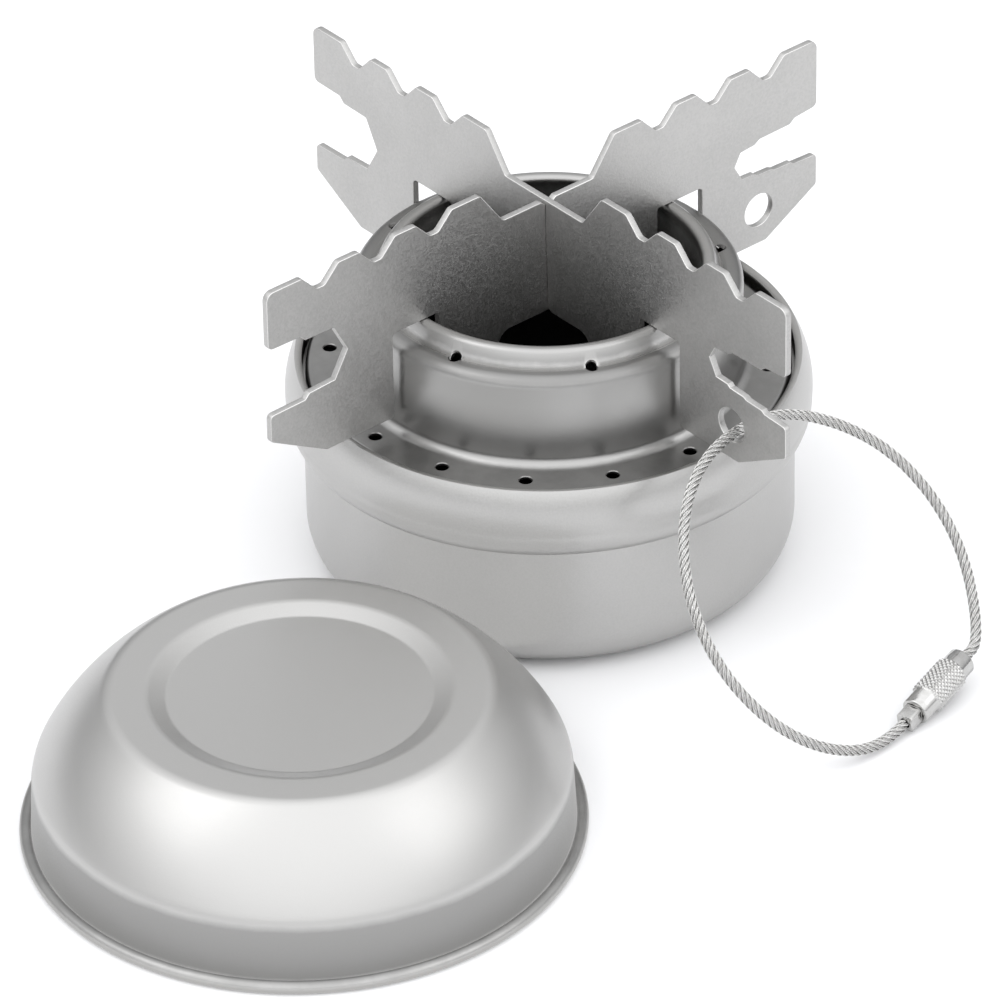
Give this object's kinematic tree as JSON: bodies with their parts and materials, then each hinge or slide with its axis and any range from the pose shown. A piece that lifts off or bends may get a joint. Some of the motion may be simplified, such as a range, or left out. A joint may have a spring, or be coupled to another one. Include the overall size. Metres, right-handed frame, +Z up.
{
  "type": "alcohol stove",
  "caption": "Double-wall spirit burner with a crossed, notched pot stand, a domed lid lying beside it, and a wire-rope lanyard with a screw clasp.",
  "frame": {"origin": "on the burner's axis, on the floor that its flat base stands on", "axes": "+Z up along the burner's axis; the lower stand plate lies along X and the upper one along Y, with the lanyard at the -Y tip"},
  "size_m": [0.1583, 0.1203, 0.0622],
  "materials": {
    "burner_titanium": "bead-blasted satin titanium",
    "sleeve_titanium": "bead-blasted satin titanium",
    "plate_titanium": "bead-blasted flat titanium sheet with bright deburred edges",
    "lid_titanium": "bead-blasted satin titanium",
    "wire_rope": "bright stranded stainless wire rope",
    "clasp_steel": "bright nickel-plated, knurled"
  },
  "bodies": {
    "burner": {"base_cup": "burner_titanium", "shoulder_ring": "burner_titanium", "burner_neck": "burner_titanium", "inner_sleeve": "sleeve_titanium"},
    "lower_plate": {"stand_plate_lower": "plate_titanium"},
    "upper_plate": {"stand_plate_upper": "plate_titanium"},
    "lid": {"lid": "lid_titanium"},
    "lanyard": {"lanyard_cable": "wire_rope", "threaded_ferrule": "clasp_steel"},
    "loop_end": {"stop_ferrule": "clasp_steel"},
    "clasp": {"clasp_sleeve": "clasp_steel"}
  },
  "joints": [
    {"name": "lower_plate_lift", "type": "slide", "parent": "burner", "child": "lower_plate", "axis": [0, 0, 1], "range_m": [0, 0.05]},
    {"name": "upper_plate_lift", "type": "slide", "parent": "lower_plate", "child": "upper_plate", "axis": [0, 0, 1], "range_m": [0, 0.035]},
    {"name": "lid_lift", "type": "slide", "parent": "burner", "child": "lid", "axis": [-0.313, -0.138, 0.9397], "range_m": [0, 0.08]},
    {"name": "lanyard_swing", "type": "hinge", "parent": "upper_plate", "child": "lanyard", "pos_m": [0.00056, -0.03963, 0.03767], "axis": [-0.9962, -0.0872, 0], "range_deg": [0, 120]},
    {"name": "clasp_unscrew", "type": "hinge", "parent": "loop_end", "child": "clasp", "pos_m": [0.00498, -0.06844, 0.00161], "axis": [0.9591, 0.224, 0.1729], "range_deg": [0, 1080]},
    {"name": "loop_end_draw", "type": "slide", "parent": "lanyard", "child": "loop_end", "axis": [0.9591, 0.224, 0.1729], "range_m": [0, 0.0021]}
  ],
  "couplings": [
    {"joint": "clasp_unscrew", "follows": "loop_end_draw", "rad_per_m": 8975.9}
  ]
}
